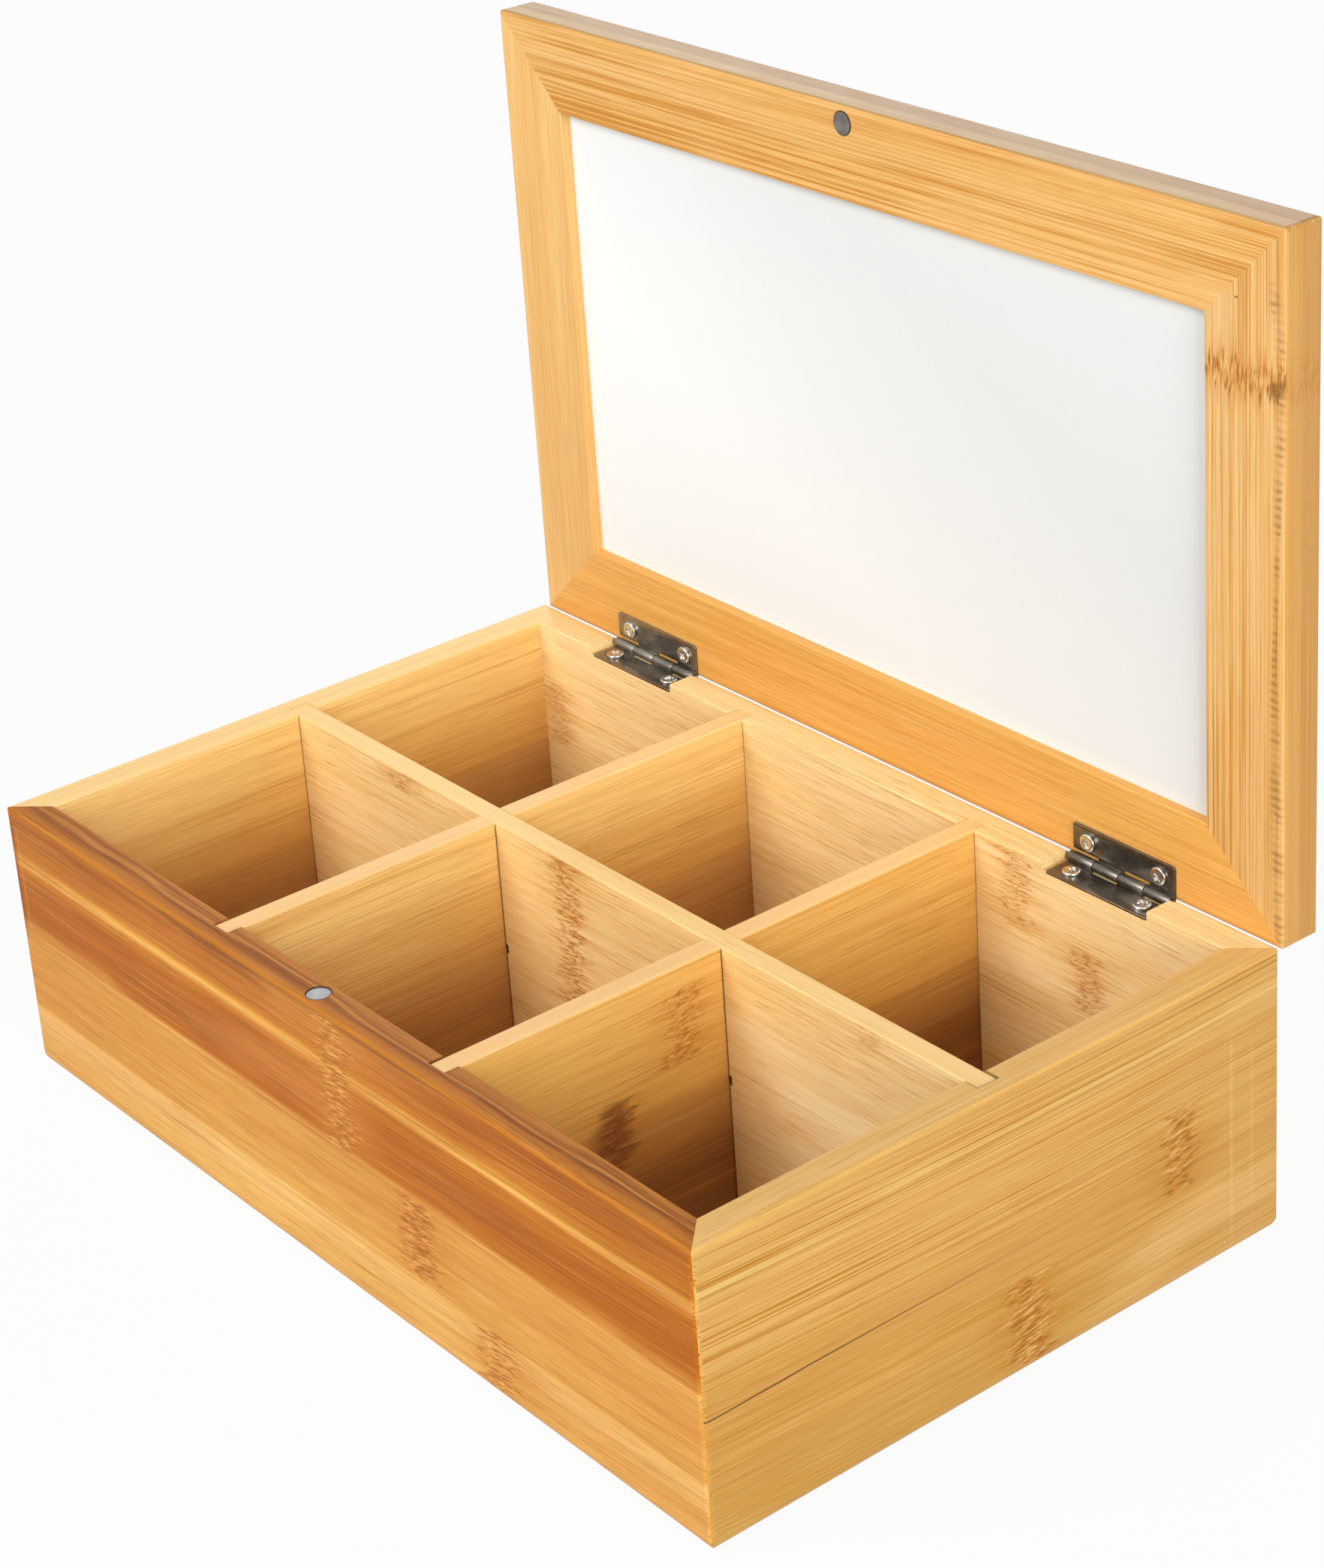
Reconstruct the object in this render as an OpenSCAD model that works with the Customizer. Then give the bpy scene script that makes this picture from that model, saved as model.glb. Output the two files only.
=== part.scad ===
// Bamboo tea box: six compartments under a hinged lid with a frosted pane.
// +X is right along the front, +Y is towards the hinges, +Z is up.
// The origin is on the table, under the middle of the box.
// The lid is drawn standing open, square to the box.

/* [Box] */
// Width of the box along its front
box_w = 290; // [250:1:340]
// Depth of the box from front to back
box_d = 180; // [160:1:220]
// Height of the box without its lid
box_h = 79; // [65:1:100]
// Thickness of the four walls
wall_t = 9.5; // [8.5:0.5:12]
// Radius along the lower outside edges
foot_r = 4.5; // [2:0.5:5]
// Height above the table at which the rounding of the bottom corners starts
foot_corner_h = 5.5; // [3:0.5:8]
// Radius along the other outside edges
edge_r = 1.2; // [0.6:0.1:2]
// Radius along the inside edges
inner_edge_r = 0.5; // [0.3:0.1:1]

/* [Bottom panel] */
// Thickness of the bottom panel, which is flush with the walls' undersides
panel_t = 4; // [3:0.5:6]
// Width of the rebate in the walls that holds the panel
panel_rebate = 3; // [2:0.5:3.5]

/* [Dividers] */
// Thickness of the dividers
divider_t = 6; // [4:0.5:8]
// Depth of the grooves that hold the dividers' ends
dado_depth = 4.5; // [3:0.5:5]
// How far the dividers' tops lie below the walls' tops
divider_drop = 0.3; // [0:0.1:2]
// Gap at each side of a divider in its groove or lap slot
divider_fit = 0.1; // [0.05:0.05:0.2]

/* [Lid] */
// Thickness of the lid's rails
lid_t = 12; // [10:0.5:16]
// Width of the lid's rails
rail_w = 25; // [20:1:32]
// Thickness of the pane
pane_t = 3; // [2:0.5:4]
// Depth of the pane below the lid's inside face
pane_recess = 3; // [2:0.5:5]
// Depth of the groove in the rails that holds the pane
pane_groove = 5; // [3:0.5:8]
// Gap between the shut lid and the walls
shut_gap = 0.3; // [0.2:0.05:0.6]

/* [Hinges] */
// Length of a hinge along its pin
hinge_len = 35; // [25:1:45]
// Distance from the side of the box to the middle of a hinge
hinge_inset = 52.5; // [40:0.5:65]
// Distance of the pins' axis behind the box's back face, below 0 in front of it
pin_back = -0.3; // [-0.5:0.1:1.4]
// Outside radius of the knuckles
knuckle_r = 1.5; // [1.4:0.1:2]
// Radius of the hinge pins
pin_r = 0.8; // [0.6:0.05:1]
// Radial play of a pin in its knuckles
pin_play = 0.05; // [0.02:0.01:0.1]
// Gap between neighbouring knuckles
knuckle_gap = 0.25; // [0.15:0.05:0.4]
// Thickness of the hinge leaves
leaf_t = 0.6; // [0.5:0.1:0.8]
// Gap between a leaf and the other leaf's knuckles
slot_gap = 0.4; // [0.3:0.1:1]
// Gap under the knuckles in the hinge recess
knuckle_room = 0.15; // [0.1:0.05:0.3]
// Distance from the ends of a leaf to its screws
screw_inset = 5.25; // [4:0.25:7]
// Distance of the screws from the pins' axis
screw_reach = 5; // [4.6:0.2:7.4]

/* [Screws] */
// Radius of the screw heads
head_r = 2.5; // [2.3:0.1:3]
// Gap between the facing screw heads when the lid is shut
head_gap = 0.3; // [0.2:0.1:0.5]
// Radius of the shanks
shank_r = 1; // [0.8:0.1:1.3]
// Length of a screw below its leaf
shank_len = 7; // [5:0.5:9]

/* [Magnets] */
// Radius of the two catch magnets
magnet_r = 3; // [2:0.5:3.5]
// Thickness of the magnets
magnet_h = 3; // [2:0.5:4]
// Place of the magnets to the right of the middle
magnet_x = -2; // [-30:1:30]
// How far the box's magnet lies below the wall's top
magnet_sunk = 0.2; // [0.1:0.05:0.5]
// How far the lid's magnet stands out of the lid
magnet_proud = 0.2; // [0:0.05:0.3]

/* [Hidden] */
$fn = 48;
// Extra length of every cut past the face that it opens
cut = 1;
// Ball that rounds a bottom corner: how far its middle lies from the three
// faces, and its radius
foot_ball_in = foot_corner_h + 3.5;
foot_ball_r = sqrt(2 * foot_ball_in ^ 2 + (foot_ball_in - foot_corner_h) ^ 2);
inside_w = box_w - 2 * wall_t;
inside_d = box_d - 2 * wall_t;
floor_z = panel_t;
divider_top = box_h - divider_drop;
divider_h = divider_top - floor_z;
lap_z = floor_z + divider_h / 2;
lap_w = divider_t + 2 * divider_fit;
// Two cross dividers make three equal columns
column_w = (inside_w - 2 * divider_t) / 3;
cross_x = [-(column_w + divider_t) / 2, (column_w + divider_t) / 2];
// Gap behind the end of a divider or the edge of a panel in its groove
end_gap = 0.2;
pane_gap = 0.4;
// Pin axis, lid planes and hinge recess, all from the shut lid's clearance
hinge_x = box_w / 2 - hinge_inset;
pin_y = box_d / 2 + pin_back;
pin_z = box_h + shut_gap - knuckle_r;
lid_y = pin_y + knuckle_r;
lid_z = pin_z + pin_back;
recess_depth = 2 * knuckle_r - shut_gap;
recess_z = box_h - recess_depth;
// The recess is longer than the leaf, mostly at its left end
recess_left = 1.2;
recess_right = 0.3;
leaf_w = wall_t + pin_back;
leaf_corner_r = 0.8;
slot_reach = knuckle_r + slot_gap;
knuckle_len = (hinge_len - 3 * knuckle_gap) / 4;
pin_head_r = pin_r + 0.15;
pin_head_h = 0.9;
pin_head_play = 0.12;
pin_head_gap = 0.25;
head_room_r = pin_head_r + pin_head_gap;
screw_pitch = hinge_len - 2 * screw_inset;
head_h = knuckle_r - leaf_t - head_gap / 2;
pilot_play = 0.02;
head_play = 0.05;
countersink_r = head_r - 0.4;
// Cross recess in the screw heads, and how each screw of a leaf is turned
cross_len = 3.1;
cross_w = 0.75;
cross_h = 0.5;
screw_turns = [15, 55];
magnet_play = 0.05;
magnet_y = -box_d / 2 + wall_t / 2;
magnet_v = box_d - wall_t / 2;
corner_r = 1.5;

// Rectangle from the origin with a radius at each corner, counted from the
// origin's corner round through +X
module soft_rect(w, h, radii) {
    difference() {
        square([w, h]);
        for (i = [0 : 3])
            if (radii[i] > 0)
                translate([i == 1 || i == 2 ? w : 0, i > 1 ? h : 0])
                    mirror([i == 1 || i == 2 ? 1 : 0, 0])
                        mirror([0, i > 1 ? 1 : 0])
                            difference() {
                                translate([-cut, -cut]) square(radii[i] + cut);
                                translate([radii[i], radii[i]]) circle(radii[i]);
                            }
    }
}

// Centred outline with rounded corners
module rounded_outline(w, d, r) {
    translate([-w / 2, -d / 2]) soft_rect(w, d, [r, r, r, r]);
}

// Bar along X with its outside at Y = 0, cut at 45 degrees at both ends.
// Its cross-section, across in Y and up in Z, is the child.
module mitred_bar(len, across, up) {
    intersection() {
        translate([-len / 2, 0, 0])
            rotate([90, 0, 90])
                linear_extrude(len) children();
        translate([0, 0, -cut])
            linear_extrude(up + 2 * cut)
                polygon([[-len / 2, 0], [len / 2, 0], [len / 2 - across, across], [across - len / 2, across]]);
    }
}

// ---- box ----

module wall_section() {
    difference() {
        soft_rect(wall_t, box_h, [foot_r, 0, inner_edge_r, edge_r]);
        translate([wall_t - panel_rebate, -cut]) square([panel_rebate + cut, panel_t + cut]);
    }
}

// Wall of a given length whose outside stands at Y = -offset
module wall(len, offset) {
    translate([0, -offset, 0]) mitred_bar(len, wall_t, box_h) wall_section();
}

// What is taken off the bottom corners: all that lies outside a ball
module foot_corners() {
    for (right = [0, 1], rear = [0, 1])
        mirror([right, 0, 0])
            mirror([0, rear, 0])
                translate([-box_w / 2, -box_d / 2, 0])
                    difference() {
                        translate([-cut, -cut, -2 * cut])
                            cube([foot_ball_in + cut, foot_ball_in + cut, foot_ball_in + 2 * cut]);
                        translate([foot_ball_in, foot_ball_in, foot_ball_in]) sphere(foot_ball_r);
                    }
}

module box_outline() {
    difference() {
        translate([0, 0, -cut]) linear_extrude(box_h + 2 * cut) rounded_outline(box_w, box_d, corner_r);
        foot_corners();
    }
}

// Grooves in the front and back walls for the cross dividers
module cross_dados() {
    for (x = cross_x)
        translate([x - lap_w / 2, -inside_d / 2 - dado_depth, floor_z])
            cube([lap_w, inside_d + 2 * dado_depth, box_h]);
}

// Grooves in the side walls for the long divider
module long_dado() {
    translate([-inside_w / 2 - dado_depth, -lap_w / 2, floor_z])
        cube([inside_w + 2 * dado_depth, lap_w, box_h]);
}

module front_wall() {
    color("peru")
        difference() {
            intersection() {
                wall(box_w, box_d / 2);
                box_outline();
            }
            cross_dados();
            translate([magnet_x, magnet_y, box_h - magnet_h - magnet_sunk])
                cylinder(r = magnet_r + magnet_play, h = magnet_h + magnet_sunk + cut);
        }
}

module back_wall() {
    color("burlywood")
        difference() {
            intersection() {
                rotate(180) wall(box_w, box_d / 2);
                box_outline();
            }
            cross_dados();
            for (x = [-hinge_x, hinge_x]) {
                translate([x - hinge_len / 2 - recess_left, inside_d / 2 - cut, recess_z])
                    cube([hinge_len + recess_left + recess_right, wall_t + 2 * cut, recess_depth + cut]);
                translate([x - hinge_len / 2, pin_y, pin_z])
                    rotate([0, 90, 0]) cylinder(r = knuckle_r + knuckle_room, h = hinge_len);
                translate([x, pin_y - head_room_r, pin_z - head_room_r])
                    cube([hinge_len / 2 + 2 * pin_head_h, wall_t, box_h]);
                for (side = [-1, 1])
                    translate([x + side * screw_pitch / 2, pin_y - screw_reach, recess_z - shank_len])
                        cylinder(r = shank_r + pilot_play, h = shank_len + cut);
            }
        }
}

module side_wall(turn) {
    color("burlywood")
        difference() {
            intersection() {
                rotate(turn) wall(box_d, box_w / 2);
                box_outline();
            }
            long_dado();
        }
}

module left_wall() side_wall(-90);

module right_wall() side_wall(90);

module bottom_panel() {
    grip = 2 * (panel_rebate - end_gap);
    color("tan")
        translate([-(inside_w + grip) / 2, -(inside_d + grip) / 2, 0])
            cube([inside_w + grip, inside_d + grip, panel_t]);
}

// ---- dividers ----

// Upright board along X that stands on the bottom panel
module divider_board(len) {
    translate([-len / 2, -divider_t / 2, floor_z])
        rotate([90, 0, 90])
            linear_extrude(len) soft_rect(divider_t, divider_h, [0, 0, inner_edge_r, inner_edge_r]);
}

// The long divider is slotted from below and drops over the cross dividers
module long_divider() {
    color("wheat")
        difference() {
            divider_board(inside_w + 2 * (dado_depth - end_gap));
            for (x = cross_x)
                translate([x - lap_w / 2, -divider_t, floor_z - cut])
                    cube([lap_w, 2 * divider_t, lap_z - floor_z + cut]);
        }
}

// A cross divider is slotted from above
module cross_divider(x) {
    color("wheat")
        translate([x, 0, 0])
            difference() {
                rotate(90) divider_board(inside_d + 2 * (dado_depth - end_gap));
                translate([-divider_t, -lap_w / 2, lap_z])
                    cube([2 * divider_t, lap_w, divider_h]);
            }
}

module left_cross_divider() cross_divider(cross_x[0]);

module right_cross_divider() cross_divider(cross_x[1]);

// ---- lid, standing open with its inside face at Y = lid_y ----

// Puts a flat shape, drawn in X and Y with its inside face at Z = 0, into the
// open lid: Y becomes up and Z becomes back. The middle of the lid is the origin.
module in_lid() {
    translate([0, lid_y, lid_z + box_d / 2]) rotate([90, 0, 0]) mirror([0, 0, 1]) children();
}

module rail_section() {
    difference() {
        soft_rect(rail_w, lid_t, [edge_r, inner_edge_r, inner_edge_r, edge_r]);
        translate([rail_w - pane_groove, pane_recess]) square([pane_groove + cut, pane_t]);
    }
}

// Rail of the given length with its outside edge at a distance from the middle
module rail(len, offset, turn) {
    intersection() {
        rotate(turn) translate([0, -offset, 0]) mitred_bar(len, rail_w, lid_t) rail_section();
        translate([0, 0, -cut]) linear_extrude(lid_t + 2 * cut) rounded_outline(box_w, box_d, corner_r);
    }
}

module lid_front_rail() {
    color("sandybrown")
        difference() {
            in_lid() rail(box_w, box_d / 2, 180);
            translate([magnet_x, lid_y + magnet_h - magnet_proud, lid_z + magnet_v])
                rotate([90, 0, 0]) cylinder(r = magnet_r + magnet_play, h = magnet_h + cut);
        }
}

module lid_back_rail() {
    color("sandybrown")
        difference() {
            in_lid() rail(box_w, box_d / 2, 0);
            for (x = [-hinge_x, hinge_x], side = [-1, 1])
                translate([x + side * screw_pitch / 2, lid_y + shank_len, pin_z + screw_reach])
                    rotate([90, 0, 0]) cylinder(r = shank_r + pilot_play, h = shank_len + cut);
        }
}

module lid_left_rail() {
    color("sandybrown") in_lid() rail(box_d, box_w / 2, -90);
}

module lid_right_rail() {
    color("sandybrown") in_lid() rail(box_d, box_w / 2, 90);
}

module lid_pane() {
    pane_w = box_w - 2 * (rail_w - pane_groove + pane_gap);
    pane_d = box_d - 2 * (rail_w - pane_groove + pane_gap);
    color("whitesmoke")
        in_lid() translate([-pane_w / 2, -pane_d / 2, pane_recess]) cube([pane_w, pane_d, pane_t]);
}

// ---- catch magnets ----

module box_magnet() {
    color("silver")
        translate([magnet_x, magnet_y, box_h - magnet_h - magnet_sunk])
            cylinder(r = magnet_r, h = magnet_h);
}

module lid_magnet() {
    color("dimgray")
        translate([magnet_x, lid_y + magnet_h - magnet_proud, lid_z + magnet_v])
            rotate([90, 0, 0]) cylinder(r = magnet_r, h = magnet_h);
}

// ---- hinges ----

// X of the left end of knuckle i, counted from the left end of the hinge
function knuckle_x(i) = i * (knuckle_len + knuckle_gap) - hinge_len / 2;

// Leaf with its pin axis on X and its plate pointing along -Y, under the axis.
// It carries the knuckles in own and is slotted for those in other.
module leaf(own, other) {
    difference() {
        union() {
            translate([-hinge_len / 2, -leaf_w, -knuckle_r])
                linear_extrude(leaf_t)
                    soft_rect(hinge_len, leaf_w, [leaf_corner_r, leaf_corner_r, 0, 0]);
            for (i = own)
                translate([knuckle_x(i), 0, 0])
                    rotate([0, 90, 0]) cylinder(r = knuckle_r, h = knuckle_len);
        }
        for (i = other)
            translate([knuckle_x(i) - knuckle_gap, -slot_reach, -2 * knuckle_r])
                cube([knuckle_len + 2 * knuckle_gap, 2 * slot_reach, 4 * knuckle_r]);
        translate([-hinge_len / 2 - cut, 0, 0])
            rotate([0, 90, 0]) cylinder(r = pin_r + pin_play, h = hinge_len + 2 * cut);
        for (side = [-1, 1])
            translate([side * screw_pitch / 2, -screw_reach, -knuckle_r]) {
                translate([0, 0, -cut]) cylinder(r = shank_r + head_play, h = leaf_t + cut);
                cylinder(r1 = shank_r + head_play, r2 = countersink_r + head_play, h = leaf_t);
                translate([0, 0, leaf_t]) cylinder(r = countersink_r + head_play, h = cut);
            }
    }
}

// Cap of a sphere that stands on Z = 0
module dome(r, h) {
    ball_r = (r * r + h * h) / (2 * h);
    intersection() {
        translate([0, 0, h - ball_r]) sphere(ball_r);
        cylinder(r = r, h = h);
    }
}

// Round-head screw that points along -Z through a leaf that lies on Z = 0
module screw() {
    difference() {
        union() {
            translate([0, 0, -shank_len]) cylinder(r = shank_r, h = shank_len + leaf_t);
            cylinder(r1 = shank_r, r2 = countersink_r, h = leaf_t);
            translate([0, 0, leaf_t]) dome(head_r, head_h);
        }
        for (turn = [0, 90])
            rotate(turn)
                translate([-cross_len / 2, -cross_w / 2, leaf_t + head_h - cross_h])
                    cube([cross_len, cross_w, cross_h + cut]);
    }
}

module leaf_screws() {
    for (i = [0, 1])
        translate([(i - 0.5) * screw_pitch, -screw_reach, -knuckle_r])
            rotate(screw_turns[i]) screw();
}

// Places one hinge on its axis; a lid leaf is turned to stand up behind it
module box_half(x) translate([x, pin_y, pin_z]) children();

module lid_half(x) translate([x, pin_y, pin_z]) rotate([-90, 0, 0]) mirror([0, 0, 1]) children();

// The left head bears on the box leaf's knuckle, and the right one is clear of
// the lid leaf's
module hinge_pin(x) {
    color("silver")
        translate([x, pin_y, pin_z])
            rotate([0, 90, 0]) {
                translate([0, 0, -hinge_len / 2]) {
                    cylinder(r = pin_r, h = hinge_len + pin_head_play);
                    mirror([0, 0, 1]) dome(pin_head_r, pin_head_h);
                }
                translate([0, 0, hinge_len / 2 + pin_head_play]) dome(pin_head_r, pin_head_h);
            }
}

module left_hinge_box_leaf() color("dimgray") box_half(-hinge_x) leaf([0, 2], [1, 3]);

module left_hinge_lid_leaf() color("dimgray") lid_half(-hinge_x) leaf([1, 3], [0, 2]);

module left_hinge_pin() hinge_pin(-hinge_x);

module left_hinge_box_screws() color("silver") box_half(-hinge_x) leaf_screws();

module left_hinge_lid_screws() color("silver") lid_half(-hinge_x) leaf_screws();

module right_hinge_box_leaf() color("dimgray") box_half(hinge_x) leaf([0, 2], [1, 3]);

module right_hinge_lid_leaf() color("dimgray") lid_half(hinge_x) leaf([1, 3], [0, 2]);

module right_hinge_pin() hinge_pin(hinge_x);

module right_hinge_box_screws() color("silver") box_half(hinge_x) leaf_screws();

module right_hinge_lid_screws() color("silver") lid_half(hinge_x) leaf_screws();

front_wall();
back_wall();
left_wall();
right_wall();
bottom_panel();
long_divider();
left_cross_divider();
right_cross_divider();
box_magnet();
lid_front_rail();
lid_back_rail();
lid_left_rail();
lid_right_rail();
lid_pane();
lid_magnet();
left_hinge_box_leaf();
left_hinge_lid_leaf();
left_hinge_pin();
left_hinge_box_screws();
left_hinge_lid_screws();
right_hinge_box_leaf();
right_hinge_lid_leaf();
right_hinge_pin();
right_hinge_box_screws();
right_hinge_lid_screws();
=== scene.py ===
# Bamboo tea box with a hinged lid: finishes, screws, stage, light and camera
import math

import bmesh
import bpy
from mathutils import Matrix, Vector


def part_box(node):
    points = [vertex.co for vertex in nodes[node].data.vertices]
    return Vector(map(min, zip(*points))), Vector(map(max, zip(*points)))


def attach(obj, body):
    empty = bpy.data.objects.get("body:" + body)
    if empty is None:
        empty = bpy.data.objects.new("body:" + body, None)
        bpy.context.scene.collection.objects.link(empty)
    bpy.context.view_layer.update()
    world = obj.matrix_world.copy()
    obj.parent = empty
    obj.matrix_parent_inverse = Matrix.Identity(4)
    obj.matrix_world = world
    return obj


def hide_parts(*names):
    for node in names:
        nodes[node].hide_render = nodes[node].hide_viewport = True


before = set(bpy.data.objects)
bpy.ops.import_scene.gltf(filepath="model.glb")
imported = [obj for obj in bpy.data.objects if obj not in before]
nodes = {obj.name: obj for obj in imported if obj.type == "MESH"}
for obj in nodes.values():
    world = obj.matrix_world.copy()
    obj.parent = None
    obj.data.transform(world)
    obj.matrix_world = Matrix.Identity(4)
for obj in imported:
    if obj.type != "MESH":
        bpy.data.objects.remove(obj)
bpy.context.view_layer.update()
print("frame loaded:", len(nodes), "parts")


def toLinear(hexValue):
    # sRGB hex to linear RGBA
    channels = [int(hexValue[i:i + 2], 16) / 255 for i in (1, 3, 5)]
    return [c / 12.92 if c <= 0.04045 else ((c + 0.055) / 1.055) ** 2.4 for c in channels] + [1.0]


def addNode(tree, kind, settings=None, inputs=None, stops=None, output=0):
    # an input given a socket is linked, any other value is set on it; gives back one output
    node = tree.nodes.new(kind)
    for name, value in (settings or {}).items():
        setattr(node, name, value)
    for socket, value in (inputs or {}).items():
        if isinstance(value, bpy.types.NodeSocket):
            tree.links.new(value, node.inputs[socket])
        else:
            node.inputs[socket].default_value = value
    for i, (at, hexValue) in enumerate(stops or ()):
        ramp = node.color_ramp
        while i == 0 and len(ramp.elements) > 1:
            ramp.elements.remove(ramp.elements[-1])
        stop = ramp.elements[0] if i == 0 else ramp.elements.new(at)
        stop.position = at
        stop.color = toLinear(hexValue)
    return node.outputs[output] if node.outputs else node


def newMaterial(name):
    material = bpy.data.materials.new(name)
    material.use_nodes = True
    material.node_tree.nodes.clear()
    return material, material.node_tree


def dress(nodeName, material):
    mesh = nodes[nodeName].data
    mesh.materials.clear()
    mesh.materials.append(material)


# settings that many nodes share
times = {"operation": "MULTIPLY"}
over = {"operation": "DIVIDE"}
plus = {"operation": "ADD"}
minus = {"operation": "SUBTRACT"}
timesPlus = {"operation": "MULTIPLY_ADD"}
larger = {"operation": "MAXIMUM"}
absolute = {"operation": "ABSOLUTE"}
smooth = {"interpolation_type": "SMOOTHSTEP"}
mixed = {"data_type": "RGBA"}
multiplied = {"data_type": "RGBA", "blend_type": "MULTIPLY"}

# Laminated bamboo, sanded and sealed with thin satin lacquer. The eye gets long straight fibre
# lines, short darker dashes where the fibre bundles are cut, strips that differ a little in
# tone, and toothed bars about 12 mm wide where the stalk had its knuckles.
# long and wide are the size of a mark in mm along and across the grain. Real fibres are
# 0.1 to 0.2 mm wide; line, dash, glint and fibre are drawn two to four times as coarse, to show.
grains = {
    "tone": {"long": 240, "wide": 12, "detail": 2, "from": 0.36, "to": 0.64},
    "band": {"long": 260, "wide": 3.0, "detail": 3, "from": 0.47, "to": 0.64},
    "patch": {"long": 70, "wide": 14, "detail": 2, "from": 0.36, "to": 0.62},
    "line": {"long": 190, "wide": 0.85, "detail": 2, "from": 0.54, "to": 0.66},
    "dash": {"long": 20, "wide": 0.42, "detail": 1, "from": 0.6, "to": 0.7},
    "glint": {"long": 26, "wide": 0.4, "detail": 1, "from": 0.6, "to": 0.72},
    "fibre": {"long": 16, "wide": 0.36, "detail": 2, "from": 0.3, "to": 0.7},
}
bamboo = {
    "stripWidth": 22.8, "stripStart": -3.8,  # mm
    "bandsOver": 80.0,                    # mm of height that the colours of the bands are spread over
    "roughness": 0.4,
    "ior": 1.48,                          # lacquer
    "reliefMm": 0.025,
    "fibreContrast": 0.08,
    "tooth": (3.6, 0.54),                 # mm, cut fibre bundles of a knuckle, long and wide
    "toothLean": 6,                       # degrees off the grain
    "tail": (13, 0.7),                    # mm, the fibres that lead into it
    "ragged": 4.5,                        # mm that the rows of a knuckle start and stop apart
    "topEdge": (77.9, 78.7),              # mm, where a wall's side turns into its top
    "grooveEdge": (77.6, 78.2),           # mm, where the grooves for the dividers end
    "gapShade": "#3A2210",                # dust and shadow in a gap
}

# Where a divider stands against another board, in mm
crossAt = 46.17
slotHalf = 3.1
lapHeight = 41.35
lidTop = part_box("lid_front_rail")[1][2] * 1000
lidSide = 145


# Each of the next functions lays one feature over a board's colour and gives back the new colour.
# board holds the place on the board in mm, and marks the grain patterns from 0 to 1.

def addBands(tree, look, board, marks):
    # colour bands by height. On the front wall they are heat-darkened bands that wander a little above the
    # seam, while the strips below it lie level; on the inner boards they are painted shade, browner towards
    # the bottom
    wander = addNode(tree, "ShaderNodeMapRange", None, {
        "Value": marks["tone"], "To Min": -look["wander"], "To Max": look["wander"]})
    ripple = addNode(tree, "ShaderNodeMapRange", None, {
        "Value": marks["patch"], "To Min": -0.6, "To Max": 0.6})
    wander = addNode(tree, "ShaderNodeMath", plus, {0: wander, 1: ripple})
    free = 0.0
    for low, high in look.get("wanderFree", [(-9, 90)]):
        rising = addNode(tree, "ShaderNodeMapRange", smooth, {
            "Value": board["height"], "From Min": low, "From Max": low + 4})
        falling = addNode(tree, "ShaderNodeMapRange", smooth, {
            "Value": board["height"], "From Min": high - 4, "From Max": high, "To Min": 1.0, "To Max": 0.0})
        inside = addNode(tree, "ShaderNodeMath", times, {0: rising, 1: falling})
        free = addNode(tree, "ShaderNodeMath", larger, {0: free, 1: inside})
    moved = addNode(tree, "ShaderNodeMath", timesPlus, {0: wander, 1: free, 2: board["height"]})
    share = addNode(tree, "ShaderNodeMath", over, {0: moved, 1: bamboo["bandsOver"]})
    return addNode(tree, "ShaderNodeValToRGB", None, {"Fac": share}, [
        (at / bamboo["bandsOver"], hexValue) for at, hexValue in look["bands"]])


def addStrips(tree, look, board, colour):
    # each glued strip is a touch lighter or darker
    strip = addNode(tree, "ShaderNodeMath", minus, {0: board["height"], 1: bamboo["stripStart"]})
    strip = addNode(tree, "ShaderNodeMath", over, {
        0: strip, 1: look.get("stripWidth", bamboo["stripWidth"])})
    strip = addNode(tree, "ShaderNodeMath", {"operation": "FLOOR"}, {0: strip})
    strip = addNode(tree, "ShaderNodeMath", timesPlus, {0: strip, 1: 3.7, 2: look["seed"] * 1.37})
    strip = addNode(tree, "ShaderNodeTexWhiteNoise", {"noise_dimensions": "1D"}, {"W": strip})
    shade = addNode(tree, "ShaderNodeMapRange", None, {
        "Value": strip, "To Min": 1 - look["stripChange"], "To Max": 1 + look["stripChange"]})
    return addNode(tree, "ShaderNodeMix", multiplied, {0: 1.0, 6: colour, 7: shade}, output=2)


def addClouds(tree, look, board, marks, colour):
    # soft clouds where the heat or the stalk coloured the board
    # (along, height, half length, half height, colour, amount)
    for at, high, halfLong, halfHigh, hexValue, amount in look.get("clouds", ()):
        fromMiddle = addNode(tree, "ShaderNodeCombineXYZ", None, {0: board["along"], 2: board["height"]})
        fromMiddle = addNode(tree, "ShaderNodeMapping", None, {
            "Vector": fromMiddle, "Location": (-at / halfLong, 0, -high / halfHigh),
            "Scale": (1 / halfLong, 0, 1 / halfHigh)})
        reach = addNode(tree, "ShaderNodeVectorMath", {"operation": "LENGTH"}, {0: fromMiddle}, output=1)
        uneven = addNode(tree, "ShaderNodeMapRange", None, {
            "Value": marks["patch"], "To Min": -0.25, "To Max": 0.25})
        reach = addNode(tree, "ShaderNodeMath", plus, {0: reach, 1: uneven})
        share = addNode(tree, "ShaderNodeMapRange", smooth, {
            "Value": reach, "From Min": 0.2, "From Max": 1.1, "To Min": amount, "To Max": 0.0})
        colour = addNode(tree, "ShaderNodeMix", mixed, {0: share, 6: colour, 7: toLinear(hexValue)}, output=2)
    return colour


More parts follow.
